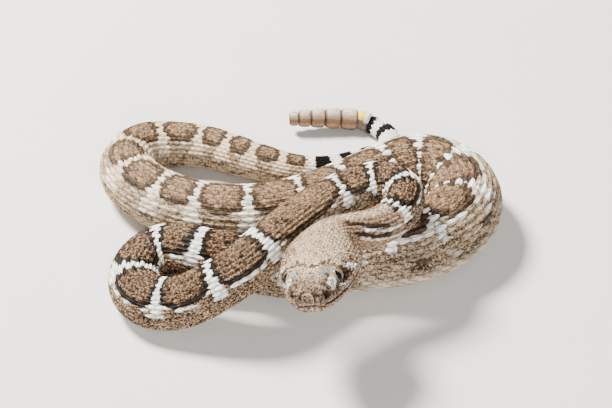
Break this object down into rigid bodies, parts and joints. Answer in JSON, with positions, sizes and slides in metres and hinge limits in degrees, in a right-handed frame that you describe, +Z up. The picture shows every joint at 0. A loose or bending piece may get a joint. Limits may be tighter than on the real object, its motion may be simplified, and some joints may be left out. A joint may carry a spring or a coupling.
{
  "type": "western diamondback rattlesnake",
  "caption": "Western diamondback rattlesnake, life size and still: loosely coiled, neck doubled back over the coils, head held level at the front, rattle behind.",
  "frame": {"origin": "middle of the snake's footprint, on the floor that it rests on", "axes": "+X from the bends on the snake's far left as the viewer sees it to the large loop on the viewer's right, +Y to the back, where the rattle lies, +Z up; the head points towards -Y"},
  "size_m": [0.1308, 0.1142, 0.0398],
  "materials": {
    "skin": "dry keeled scales",
    "tail_skin": "dry keeled scales",
    "eye": "wet gloss",
    "rattle": "horn"
  },
  "bodies": {
    "root": {"head": "skin", "neck": "skin", "body_1": "skin", "body_2": "skin", "body_3": "skin", "body_4": "skin", "body_5": "skin", "body_6": "skin", "body_7": "skin", "body_8": "skin", "body_9": "skin", "body_10": "skin", "tail": "tail_skin", "eye_left": "eye", "eye_right": "eye", "rattle_1": "rattle", "rattle_2": "rattle", "rattle_3": "rattle", "rattle_4": "rattle", "rattle_5": "rattle", "rattle_6": "rattle"}
  },
  "joints": []
}
